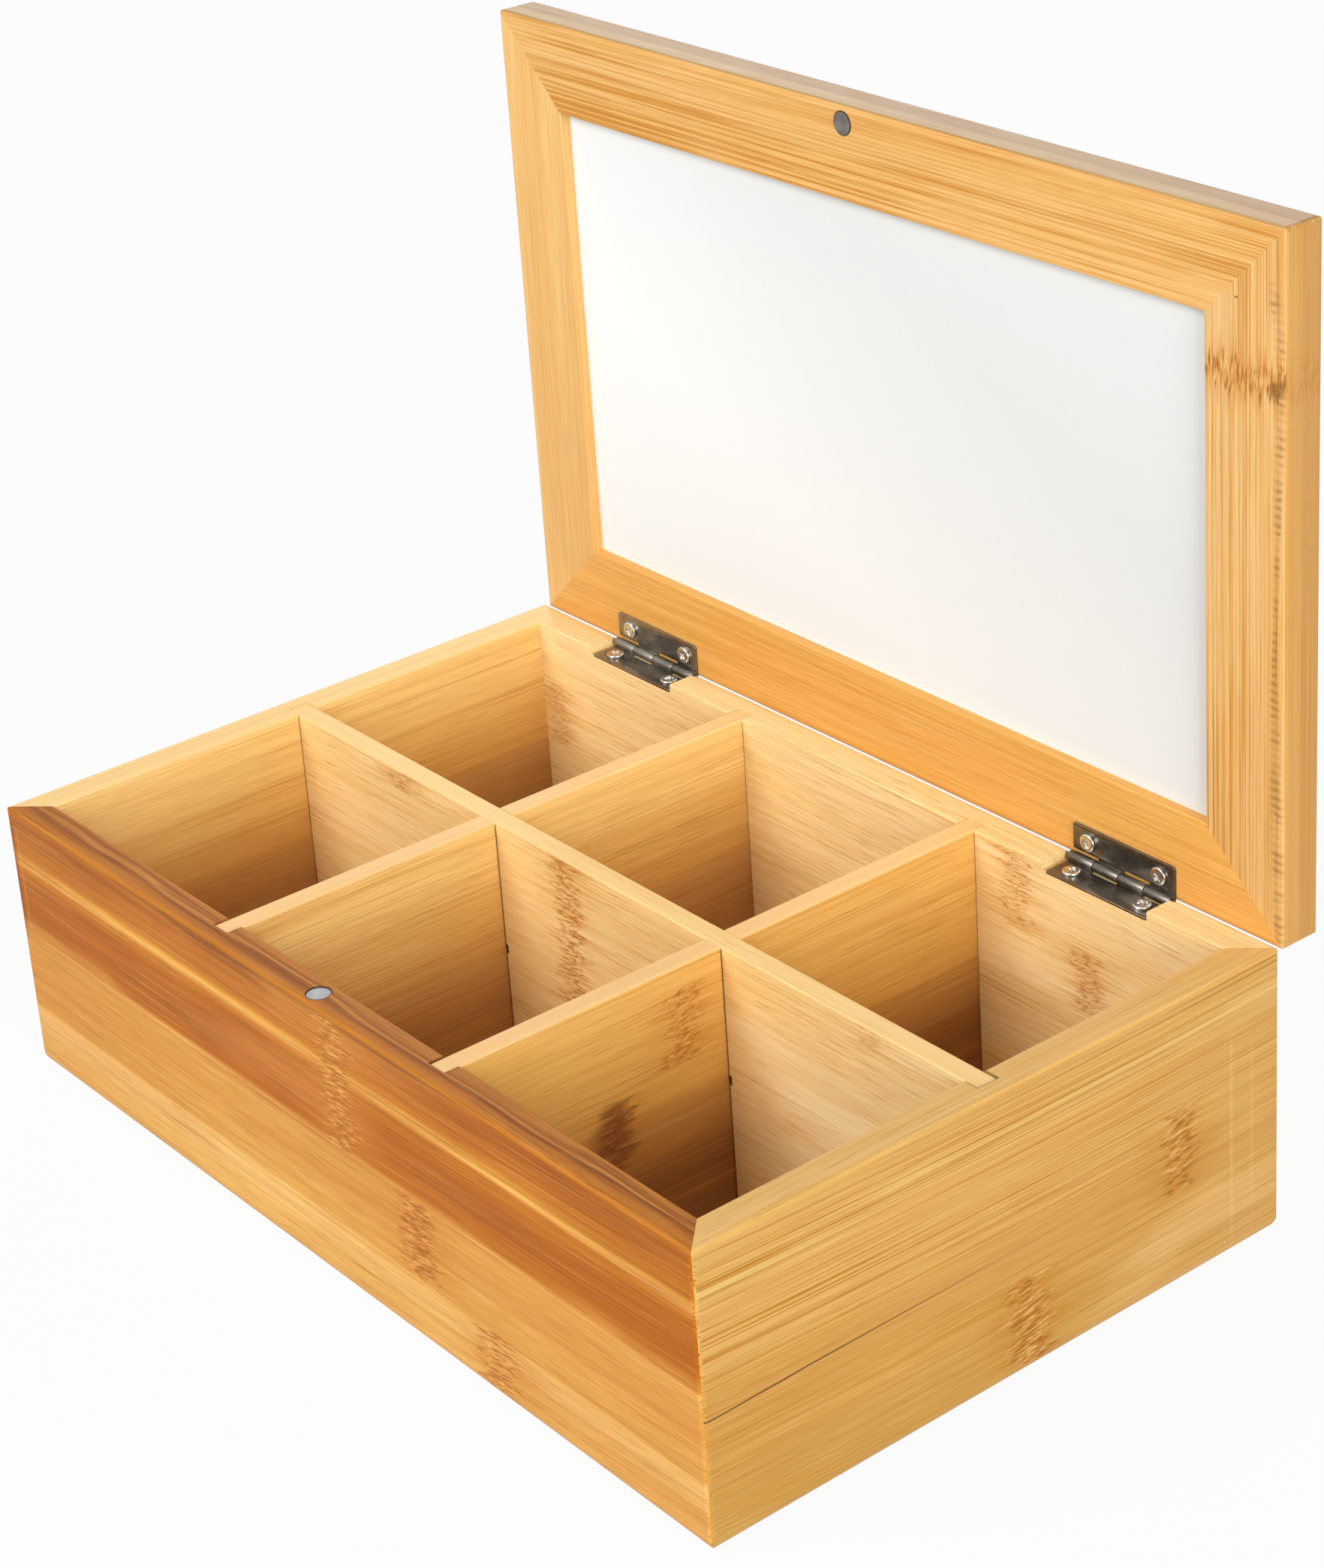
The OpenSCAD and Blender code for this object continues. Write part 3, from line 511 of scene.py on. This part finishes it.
# One look for each board, in mm. Its axes are the ones along the grain, through the board and across it.
boards = {
    "front_wall": {
        "axes": (0, 1, 2), "seed": 1, "side": -1, "specular": 0.07, "drift": (-0.012, -0.0001),
        "wander": 1.6, "wanderFree": [(44, 63), (65.5, 84)],
        "bands": [(0, "#DDAD5C"), (7, "#DEAB5E"), (11, "#E0AF61"), (14, "#E9BD75"), (18.7, "#EEBE70"),
                  (19.4, "#DCA44F"), (24, "#DFA754"), (30, "#D99D4E"), (36, "#D89C4D"), (41.6, "#DBA151"),
                  (42.1, "#E8B362"), (42.9, "#CE8A35"), (44, "#AB5C10"), (47, "#AD600E"), (50, "#A3550B"),
                  (54, "#A6560A"), (57, "#9C500A"), (60, "#B36510"), (62.6, "#C17521"), (63.9, "#F4BD65"),
                  (64.6, "#ECB04F"), (66.5, "#C07925"), (69, "#AB6317"), (72, "#AD6317"), (74, "#9C5111"),
                  (76, "#A86019"), (78, "#6D3818")],
        "stripChange": 0.03, "fibreContrast": 0.14,
        "layers": {"tone": ("#C87E28", 0.25), "band": ("#BB6F23", 0.3), "patch": ("#B1651F", 0.15),
                   "line": ("#8A4806", 0.5), "dash": ("#844606", 0.35), "glint": ("#E0A050", 0.3)},
        "line": {"long": 260, "wide": 0.7, "from": 0.54, "to": 0.63}, "linesOver": 46,
        "glint": {"long": 55, "wide": 0.45, "from": 0.56, "to": 0.7},
        "halo": "#C6802F", "lightTooth": "#F2BE6A", "darkTooth": "#A25D1E",
        "knuckles": [(9, 42, 78, 7, 0.85, "#CE8A44", 0.3), (38, 19.3, 41.5, 8, 1.0, "#C07430", 0.5),
                     (68, 0, 18, 8, 0.9, "#CB8B3F", 0.45)],
        "topFace": {"from": -90, "to": -80.5, "stops": [
            (0.0, "#C98034"), (0.3, "#BB7230"), (0.4, "#985A28"), (0.45, "#754023"), (0.53, "#864E29"),
            (0.58, "#C07E3C"), (0.63, "#CC8D4A"), (0.68, "#9E5E2C"), (0.76, "#9A5B2C"), (0.86, "#BE7A3A"),
            (1.0, "#C8853F")]},
        "clouds": [(-150, 24, 90, 30, "#C9782E", 0.3), (120, 33, 60, 9, "#C9782E", 0.25),
                   (72, 53, 46, 6, "#7A3A0E", 0.4), (-52, 50, 30, 5, "#7A3A0E", 0.3),
                   (-5, 74, 30, 5, "#D08A44", 0.35), (-118, 72, 34, 5, "#7A3A0E", 0.25),
                   (120, 73, 40, 5, "#7A3A0E", 0.3), (-3, 57, 34, 9, "#D68F4A", 0.35),
                   (-128, 44.5, 52, 3, "#DDA052", 0.6), (132, 44.5, 36, 2.4, "#DDA052", 0.5),
                   (0, 41.6, 70, 2.2, "#B5692A", 0.55), (0, 71, 85, 8, "#D48C48", 0.35),
                   (-22, 50, 45, 6, "#CC8442", 0.35), (-140, 64.3, 40, 1.8, "#B26A2A", 0.55),
                   (132, 64.3, 52, 1.8, "#B26A2A", 0.6)],
        "scuffs": [(-143.4, 40, 78, 1.6, "#854313", 0.55), (-140.6, 44, 76, 0.7, "#D18D3D", 0.35)],
        "joints": [(crossAt, 85, 0.6, False), (-crossAt, 85, 0.25, False)], "topJoint": 1.0,
        "magnet": ("box_magnet", 1, 2, 79),
    },
    "back_wall": {
        **straw, "axes": (0, 1, 2), "seed": 2, "drift": (0.01, 0.0),
        "knuckles": [(64, 57, 79, 5, 0.7), (89, 42, 60, 5, 0.75), (-129, 40, 60, 4.5, 0.5)],
        "joints": [(-crossAt, 85, 0.5, False), (crossAt, 85, 0.5, False)],
    },
    "left_wall": {
        **strawPaintedShade, "axes": (1, 0, 2), "seed": 3, "side": -1, "stripChange": 0.015,
        # its outside has a plain colour, without the painted shade
        "outer": ("#FAD694", 144.2),
        "topFace": {"from": -200, "to": 200, "grain": 0.3, "stops": [(0.0, "#FBD592")]},
        "knuckles": [(-58, 1, 26, 5, 0.6)],
        "joints": [(0, 140, 0.5, False)],
    },
    "right_wall": {
        **straw, "axes": (1, 0, 2), "seed": 4, "drift": (0.014, -0.0002), "wander": 1.0,
        # painted shade: the sides are given darker colours than the other straw boards, against the strong
        # right lamp
        "bands": [(0, "#C4984A"), (17, "#C4964D"), (19, "#C7934A"), (23, "#CDA054"), (27, "#C7974C"),
                  (34, "#C7944B"), (42, "#CA9A51"), (45, "#CC9E57"), (63, "#D0A15D"), (65, "#D5A862"),
                  (69, "#DEB871"), (73, "#D5A75F"), (79, "#CFA15C")],
        "layers": {"tone": ("#C28E43", 0.3), "band": ("#B77C31", 0.32), "line": ("#AE7010", 0.95),
                   "dash": ("#AE7018", 0.55), "glint": ("#DDBF80", 0.3)},
        "band": {"long": 420, "wide": 1.5}, "dash": {"long": 120, "wide": 0.45, "from": 0.58, "to": 0.66},
        "line": {"long": 420, "wide": 0.55, "from": 0.54, "to": 0.6}, "linesOver": 40,
        "halo": "#B87A24", "lightTooth": "#EBC98A", "darkTooth": "#9A5C14", "tooth": (3.6, 0.54),
        "knuckles": [(56, 27, 50, 5.5, 0.95), (6, 3, 27, 6.5, 1.0)],
        # painted light: the top is given lighter colours than the sides, which the right lamp lights and the
        # top not
        "topFace": {"from": 135.5, "to": 145, "grain": 0.2, "stops": [
            (0.0, "#EDC27A"), (0.3, "#E9BC70"), (0.6, "#EFC47C"), (1.0, "#E3B262")]},
        "clouds": [(-100, 14, 70, 34, "#AE7A2C", 0.3), (95, 12, 90, 30, "#EFC684", 0.35)],
        "scuffs": [(73.3, 2, 66, 0.7, "#E8D3A0", 0.16), (80.3, 8, 60, 0.6, "#E8D3A0", 0.1)],
        "streaks": [(35.6, 0.35, -75, 45, "#513618", 0.95, None)],
        "joints": [(0, 140, 0.6, False)], "topJoint": 1.0,
    },
    "long_divider": {
        **straw, "axes": (0, 1, 2), "seed": 5, "side": -1, "base": "#FED998", "drift": (-0.01, 0.0),
        "topFace": {"from": -200, "to": 200, "grain": 0.4, "stops": [(0.0, "#FDD592")]},
        "knuckles": [(-13, 36, 79, 5.5, 0.85), (104, 72, 79, 4, 0.35), (-86, 73, 79, 5, 0.6)],
        "clouds": [(125, 55, 100, 60, "#FFEFC4", 0.45)],
        "joints": [(-crossAt, 9, 0.7, True), (crossAt, 9, 0.7, True)],
    },
    "left_cross_divider": {
        **strawPaintedShade, "axes": (1, 0, 2), "seed": 6,
        "topFace": {"from": -200, "to": 200, "grain": 0.2, "stops": [(0.0, "#F9CD90")]},
        "joints": [(0, 60, 0.35, False)],
    },
    "right_cross_divider": {
        **strawPaintedShade, "axes": (1, 0, 2), "seed": 7,
        # painted shade: browner still towards the bottom than the other inner boards
        "bands": [(0, "#9A7358"), (19, "#A17958"), (30, "#B08456"), (42, "#D8A154"), (43.5, "#E8B35D"),
                  (79, "#F2C06B")],
        "topFace": {"from": -200, "to": 200, "grain": 0.2, "stops": [(0.0, "#F9CD90")]},
        "knuckles": [(-16, 52, 73, 5, 0.8), (-39, 31, 50, 4.2, 0.8, "#6E3C26", 0.7)],
        "clouds": [(-39, 40.5, 7, 15, "#74422A", 0.85)],
        "joints": [(0, 60, 0.35, False)],
    },
    "bottom_panel": {**straw, "axes": (0, 2, 1), "seed": 8},
}

# Honey-coloured rails of the lid, cut on edge, so that their lines are closer and stronger
honey = {
    **straw, "base": "#DFB06D", "stripChange": 0.025, "stripWidth": 6.3,
    "layers": {"tone": ("#D9A155", 0.5), "band": ("#D19444", 0.35), "line": ("#C27A12", 0.6),
               "dash": ("#BC781C", 0.25), "glint": ("#E9CB92", 0.4)},
    "line": {"wide": 0.5}, "glint": {"long": 60, "wide": 0.45},
    "halo": "#C28036", "lightTooth": "#E9C588", "darkTooth": "#9C5E24", "tooth": (4.2, 0.54),
}
boards["lid_front_rail"] = {
    **honey, "axes": (0, 1, 2), "seed": 11,
    "layers": {**honey["layers"], "line": ("#BC7818", 0.85)}, "line": {"wide": 0.5, "from": 0.46, "to": 0.57},
    "cutFrom": lidTop - 0.5, "cutFace": ("#B99763", "#A07B4A", 96.6),
    "magnet": ("lid_magnet", 2, 1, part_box("lid_front_rail")[0][1] * 1000)}
boards["lid_back_rail"] = {
    **honey, "axes": (0, 1, 2), "seed": 12, "base": "#E5AA58",
    "layers": {**honey["layers"], "line": ("#C8821E", 0.4)}}
boards["lid_left_rail"] = {
    **honey, "axes": (2, 1, 0), "seed": 13, "base": "#E5B976",
    "layers": {"tone": ("#DBA55D", 0.5), "band": ("#D69B4F", 0.3), "line": ("#C8882A", 0.3),
               "dash": ("#BE8744", 0.15), "glint": ("#E6CC99", 0.35)}}
boards["lid_right_rail"] = {
    **honey, "axes": (2, 1, 0), "seed": 11, "slide": (lidSide - lidTop, lidTop - lidSide), "base": "#DDB579",
    "layers": {**honey["layers"], "line": ("#BC7818", 0.8)}, "line": {"wide": 0.5, "from": 0.46, "to": 0.57},
    "cutFrom": lidSide - 0.5, "cutFace": ("#C8944E", "#BC8847", 96.6),
    "knuckles": [(lidTop - 37.3, 119, 150, 3.6, 1.0), (lidTop - 39, 139.5, 144.6, 2.4, 0.9, "#5E4426", 0.6)],
    "streaks": [(141.8, 2.5, lidTop - 14, lidTop - 12, "#7A5526", 0.55, 2.1)],
    "scuffs": [(lidTop - 19.2, 129.4, 130.6, 0.3, "#543519", 0.9)]}

for nodeName, look in boards.items():
    finish = "carbonised_bamboo" if nodeName == "front_wall" else "natural_bamboo"
    dress(nodeName, bambooBoard(nodeName + "_" + finish, look))
print("bamboo boards dressed:", len(boards))


# Cast acrylic sheet, sand-blasted: a matt milky white that softens every reflection
# Real grit is about 0.05 mm, and is drawn coarser to show. The half sizes are in metres.
# light and shade are the pane's painted light and painted shade
pane = {
    "light": "#EBEEED", "shade": "#D7DAD9", "roughness": 0.55, "ior": 1.49,
    "gritMm": 0.35, "reliefMm": 0.02, "halfWidth": 0.12, "halfHeight": 0.065,
}


def frostedAcrylic():
    material, tree = newMaterial("sandblasted_white_acrylic")
    place = addNode(tree, "ShaderNodeTexCoord", output=3)
    grit = addNode(tree, "ShaderNodeTexNoise", None, {
        "Vector": place, "Scale": 1000 / pane["gritMm"], "Detail": 2.0})
    # painted light and shade: the pane is painted whiter towards the lower left corner and greyer towards the
    # upper right
    low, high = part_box("lid_pane")
    across = addNode(tree, "ShaderNodeSeparateXYZ", None, {0: place})
    rise = addNode(tree, "ShaderNodeSeparateXYZ", None, {0: place}, output=2)
    across = addNode(tree, "ShaderNodeMath", over, {0: across, 1: pane["halfWidth"]})
    rise = addNode(tree, "ShaderNodeMath", minus, {0: rise, 1: (low[2] + high[2]) / 2})
    rise = addNode(tree, "ShaderNodeMath", over, {0: rise, 1: pane["halfHeight"]})
    corner = addNode(tree, "ShaderNodeMath", plus, {0: across, 1: rise})
    share = addNode(tree, "ShaderNodeMapRange", None, {"Value": corner, "From Min": -0.7, "From Max": 0.8})
    colour = addNode(tree, "ShaderNodeMix", mixed, {
        0: share, 6: toLinear(pane["light"]), 7: toLinear(pane["shade"])}, output=2)
    dull = addNode(tree, "ShaderNodeMapRange", None, {
        "Value": grit, "To Min": pane["roughness"] - 0.08, "To Max": pane["roughness"] + 0.08})
    bump = addNode(tree, "ShaderNodeBump", None, {
        "Strength": 0.3, "Distance": pane["reliefMm"] / 1000, "Height": grit})
    surface = addNode(tree, "ShaderNodeBsdfPrincipled", None, {
        "Base Color": colour, "Roughness": dull, "Normal": bump, "IOR": pane["ior"]})
    addNode(tree, "ShaderNodeOutputMaterial", None, {"Surface": surface})
    return material


dress("lid_pane", frostedAcrylic())
print("pane dressed")


plateReliefMm = 0.01  # unevenness left by polishing


def platedMetal(name, look):
    material, tree = newMaterial(name)
    place = addNode(tree, "ShaderNodeTexCoord", output=3)
    stains = addNode(tree, "ShaderNodeTexNoise", None, {
        "Vector": place, "Scale": 1000 / look["stainMm"], "Detail": 3.0})
    share = addNode(tree, "ShaderNodeMapRange", None, {"Value": stains, "From Min": 0.35, "From Max": 0.65})
    colour = addNode(tree, "ShaderNodeMix", mixed, {
        0: share, 6: toLinear(look["dark"]), 7: toLinear(look["light"])}, output=2)
    scuffs = addNode(tree, "ShaderNodeTexNoise", None, {
        "Vector": place, "Scale": 1000 / look["scuffMm"], "Detail": 2.0})
    dull = addNode(tree, "ShaderNodeMapRange", None, {
        "Value": scuffs, "From Min": 0.3, "From Max": 0.7,
        "To Min": look["roughness"] * 0.8, "To Max": look["roughness"] * 1.3})
    bump = addNode(tree, "ShaderNodeBump", None, {
        "Strength": 0.25, "Distance": plateReliefMm / 1000, "Height": scuffs})
    surface = addNode(tree, "ShaderNodeBsdfPrincipled", None, {
        "Base Color": colour, "Roughness": dull, "Normal": bump, "Metallic": 1.0})
    addNode(tree, "ShaderNodeOutputMaterial", None, {"Surface": surface})
    return material


# stains are soft patches of tone and scuffs are fine wear; fine scuffs are drawn coarser to show
metals = {
    # rolled steel with a dark nickel plate: a smoky mirror that takes the wood's tan
    "dark_nickel_plated_steel": {
        "dark": "#6C665E", "light": "#979187", "stainMm": 16, "scuffMm": 1.6, "roughness": 0.3},
    # turned steel with a bright zinc plate: white highlights round the screw heads
    "bright_zinc_plated_steel": {
        "dark": "#B8B4AE", "light": "#DEDBD6", "stainMm": 2, "scuffMm": 0.5, "roughness": 0.14},
    # nickel plate rubbed dull by the catch: an even light grey
    "satin_nickel_plate": {
        "dark": "#8B8B8C", "light": "#9C9D9E", "stainMm": 3, "scuffMm": 0.4, "roughness": 0.4},
    # nickel plate painted a darker grey as painted shade for its pocket, with a bright rim
    "nickel_plate_painted_shade": {
        "dark": "#6C6862", "light": "#85817A", "stainMm": 3, "scuffMm": 0.4, "roughness": 0.28},
}
metalFor = {name: platedMetal(name, look) for name, look in metals.items()}
dress("box_magnet", metalFor["satin_nickel_plate"])
dress("lid_magnet", metalFor["nickel_plate_painted_shade"])

# Hinge leaves and pins: the solids with their pressed edges rounded
hinge = {"leafEdge": 0.12, "pinEdge": 0.1, "segments": 2, "sameVertex": 0.002}  # mm
for side in ("left", "right"):
    for part in ("box_leaf", "lid_leaf", "pin"):
        nodeName = side + "_hinge_" + part
        bpy.ops.object.select_all(action="DESELECT")
        piece = bpy.data.objects.new(side + "_" + part + "_plated", nodes[nodeName].data.copy())
        bpy.context.collection.objects.link(piece)
        piece.select_set(True)
        bpy.context.view_layer.objects.active = piece
        bpy.ops.object.mode_set(mode="EDIT")
        bpy.ops.mesh.select_all(action="SELECT")
        bpy.ops.mesh.remove_doubles(threshold=hinge["sameVertex"] / 1000)
        bpy.ops.mesh.dissolve_limited(angle_limit=math.radians(1))
        bpy.ops.object.mode_set(mode="OBJECT")
        rounded = piece.modifiers.new("rounded_edges", "BEVEL")
        rounded.width = (hinge["pinEdge"] if part == "pin" else hinge["leafEdge"]) / 1000
        rounded.segments = hinge["segments"]
        rounded.limit_method = "ANGLE"
        rounded.angle_limit = math.radians(50)
        bpy.ops.object.modifier_apply(modifier=rounded.name)
        bpy.ops.object.shade_smooth_by_angle(angle=math.radians(35))
        piece.data.materials.clear()
        piece.data.materials.append(metalFor["dark_nickel_plated_steel"])
        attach(piece, "lid" if part == "lid_leaf" else "box")
        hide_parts(nodeName)
print("hinges rounded")

# Round-head screws with a cross recess, in mm. The first is made lying flat, then copied.
screw = {
    "headRadius": 2.5, "headHeight": 0.75, "rim": 0.42, "shankRadius": 1.1, "shankLength": 7.0,
    "crossLength": 3.1, "crossWidth": 0.8, "crossDepth": 0.55, "crossTaper": 0.62, "softEdge": 0.07,
    "turns": (15, 55), "pitch": 24.5, "hingeAt": 92.5,
}
mm = 0.001
bpy.ops.object.select_all(action="DESELECT")
bpy.ops.mesh.primitive_cylinder_add(
    vertices=48, radius=screw["headRadius"] * mm, depth=screw["headHeight"] * mm,
    location=(0, 0, screw["headHeight"] * mm / 2))
firstScrew = bpy.context.object
bpy.ops.object.transform_apply(location=True, rotation=True, scale=True)
bpy.ops.object.mode_set(mode="EDIT")
shape = bmesh.from_edit_mesh(firstScrew.data)
for face in shape.faces:
    face.select = face.normal.z < -0.9
bmesh.update_edit_mesh(firstScrew.data)
bpy.ops.mesh.inset(thickness=(screw["headRadius"] - screw["shankRadius"]) * mm)
bpy.ops.mesh.extrude_region_move(TRANSFORM_OT_translate={"value": (0, 0, -screw["shankLength"] * mm)})
bpy.ops.mesh.select_all(action="DESELECT")
shape = bmesh.from_edit_mesh(firstScrew.data)
bpy.context.tool_settings.mesh_select_mode = (False, True, False)
for edge in shape.edges:
    edge.select = all(v.co.z > (screw["headHeight"] - 0.01) * mm for v in edge.verts)
bmesh.update_edit_mesh(firstScrew.data)
bpy.ops.mesh.bevel(offset=screw["rim"] * mm, segments=5, profile=0.5, affect="EDGES")
bpy.ops.object.mode_set(mode="OBJECT")
bpy.context.tool_settings.mesh_select_mode = (True, False, False)

# the driver's cross is cut from the head with two tapered bars
cutters = []
for turn in (0, 90):
    bpy.ops.object.select_all(action="DESELECT")
    bpy.ops.mesh.primitive_cube_add(size=1, location=(0, 0, screw["headHeight"] * mm))
    cutter = bpy.context.object
    cutter.scale = (screw["crossLength"] * mm, screw["crossWidth"] * mm, 2 * screw["crossDepth"] * mm)
    cutter.rotation_euler = (0, 0, math.radians(turn))
    bpy.ops.object.transform_apply(location=True, rotation=True, scale=True)
    bpy.ops.object.mode_set(mode="EDIT")
    bpy.ops.mesh.select_all(action="DESELECT")
    shape = bmesh.from_edit_mesh(cutter.data)
    for vertex in shape.verts:
        vertex.select = vertex.co.z < screw["headHeight"] * mm
    bmesh.update_edit_mesh(cutter.data)
    bpy.ops.transform.resize(
        value=(screw["crossTaper"], screw["crossTaper"], 1), center_override=(0, 0, 0))
    bpy.ops.object.mode_set(mode="OBJECT")
    bpy.ops.object.select_all(action="DESELECT")
    firstScrew.select_set(True)
    bpy.context.view_layer.objects.active = firstScrew
    cut = firstScrew.modifiers.new("driver_cross", "BOOLEAN")
    cut.operation = "DIFFERENCE"
    cut.solver = "EXACT"
    cut.object = cutter
    bpy.ops.object.modifier_apply(modifier=cut.name)
    cutters.append(cutter)
for cutter in cutters:
    bpy.data.objects.remove(cutter, do_unlink=True)
soften = firstScrew.modifiers.new("soft_edges", "BEVEL")
soften.width = screw["softEdge"] * mm
soften.segments = 2
soften.limit_method = "ANGLE"
soften.angle_limit = math.radians(40)
bpy.ops.object.modifier_apply(modifier=soften.name)
bpy.ops.object.shade_smooth_by_angle(angle=math.radians(40))
firstScrew.data.materials.append(metalFor["bright_zinc_plated_steel"])

for side, sign in (("left", -1), ("right", 1)):
    for half, body in (("box", "box"), ("lid", "lid")):
        nodeName = side + "_hinge_" + half + "_screws"
        low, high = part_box(nodeName)
        pair = []
        for i, turn in enumerate(screw["turns"]):
            one = firstScrew.copy()
            one.data = firstScrew.data.copy()
            bpy.context.collection.objects.link(one)
            across = sign * screw["hingeAt"] + (i - 0.5) * screw["pitch"]
            if half == "box":
                seat = Vector((across * mm, (low[1] + high[1]) / 2, high[2] - screw["headHeight"] * mm))
                facing = Matrix.Identity(4)
            else:
                seat = Vector((across * mm, low[1] + screw["headHeight"] * mm, (low[2] + high[2]) / 2))
                facing = Matrix.Rotation(math.radians(90), 4, "X")
            turned = Matrix.Rotation(math.radians(turn), 4, "Z")
            one.data.transform(Matrix.Translation(seat) @ facing @ turned)
            pair.append(one)
        bpy.ops.object.select_all(action="DESELECT")
        for one in pair:
            one.select_set(True)
        bpy.context.view_layer.objects.active = pair[0]
        bpy.ops.object.join()
        pair[0].name = side + "_" + half + "_round_head_screws"
        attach(pair[0], body)
        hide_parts(nodeName)
bpy.data.objects.remove(firstScrew, do_unlink=True)
print("screws made")


# Plain pale studio. The floor lies a hair below the box's feet, so that the two don't mix.
stage = {"floorSize": 8.0, "floorColour": "#D6D6D6", "floorDrop": 0.0002, "glow": 0.94, "sky": 0.13,
         "lampsAim": (0, 0, 0.08)}
cameraRay, glossyRay, transmissionRay = 0, 3, 6  # outputs of the light path


def seenDirectly(tree):
    # 1 for what the eye, metal and glass see, and 0 for the light that falls on the box
    share = 0.0
    for ray in (cameraRay, glossyRay, transmissionRay):
        seen = addNode(tree, "ShaderNodeLightPath", output=ray)
        share = addNode(tree, "ShaderNodeMath", larger, {0: seen, 1: share})
    return share


bpy.ops.object.select_all(action="DESELECT")
bpy.ops.mesh.primitive_plane_add(size=stage["floorSize"], location=(0, 0, -stage["floorDrop"]))
floor = bpy.context.object
floor.name = "studio_floor"
paperMaterial, paperTree = newMaterial("matt_white_paper")
# paper, with a plain white glow for what the eye and the metal see, so that the floor stays white
paper = addNode(paperTree, "ShaderNodeBsdfPrincipled", None, {
    "Base Color": toLinear(stage["floorColour"]), "Roughness": 0.9})
glow = addNode(paperTree, "ShaderNodeEmission", None, {"Color": (1, 1, 1, 1), "Strength": 1.0})
glowing = addNode(paperTree, "ShaderNodeMath", times, {0: seenDirectly(paperTree), 1: stage["glow"]})
white = addNode(paperTree, "ShaderNodeMixShader", None, {0: glowing, 1: paper, 2: glow})
addNode(paperTree, "ShaderNodeOutputMaterial", None, {"Surface": white})
floor.data.materials.append(paperMaterial)

sky = bpy.data.worlds.new("soft_studio")
bpy.context.scene.world = sky
sky.use_nodes = True
sky.node_tree.nodes.clear()
level = addNode(sky.node_tree, "ShaderNodeMapRange", None, {
    "Value": seenDirectly(sky.node_tree), "To Min": stage["sky"], "To Max": 1.0})
air = addNode(sky.node_tree, "ShaderNodeBackground", None, {"Color": (1, 1, 1, 1), "Strength": level})
addNode(sky.node_tree, "ShaderNodeOutputWorld", None, {"Surface": air})

lamps = {
    "front_softbox": {"at": (-0.25, -1.45, 1.25), "size": 1.2, "power": 32},
    "right_softbox": {"at": (1.6, -0.4, 0.5), "size": 0.9, "power": 24},
    "rear_fill": {"at": (-1.2, 1.3, 0.9), "size": 1.0, "power": 9},
}
for name, lamp in lamps.items():
    light = bpy.data.lights.new(name, "AREA")
    light.shape = "SQUARE"
    light.size = lamp["size"]
    light.energy = lamp["power"]
    holder = bpy.data.objects.new(name, light)
    bpy.context.collection.objects.link(holder)
    holder.location = lamp["at"]
    towards = Vector(stage["lampsAim"]) - Vector(lamp["at"])
    holder.rotation_euler = towards.to_track_quat("-Z", "Y").to_euler()

view = {"azimuth": 51.653, "elevation": 23.733, "roll": -3.503, "place": (0.65744, -0.47121, 0.51228),
        "lens": 83.481, "sensor": 36, "shift": (-0.05, -0.13), "near": 0.01}
cameraData = bpy.data.cameras.new("product_camera")
cameraData.sensor_fit = "VERTICAL"
cameraData.sensor_height = view["sensor"]
cameraData.lens = view["lens"]
cameraData.shift_x, cameraData.shift_y = view["shift"]
cameraData.clip_start = view["near"]
camera = bpy.data.objects.new("product_camera", cameraData)
bpy.context.collection.objects.link(camera)
bpy.context.scene.camera = camera
azimuth, elevation, roll = [math.radians(view[key]) for key in ("azimuth", "elevation", "roll")]
back = Vector((math.sin(azimuth) * math.cos(elevation), -math.cos(azimuth) * math.cos(elevation),
               math.sin(elevation)))
right = Vector((math.cos(azimuth), math.sin(azimuth), 0))
up = back.cross(right)
turn = Matrix((right, up, back)).transposed() @ Matrix.Rotation(roll, 3, "Z")
camera.rotation_euler = turn.to_euler()
camera.location = view["place"]

bpy.context.scene.view_settings.view_transform = "Standard"
print("stage, light and camera ready")
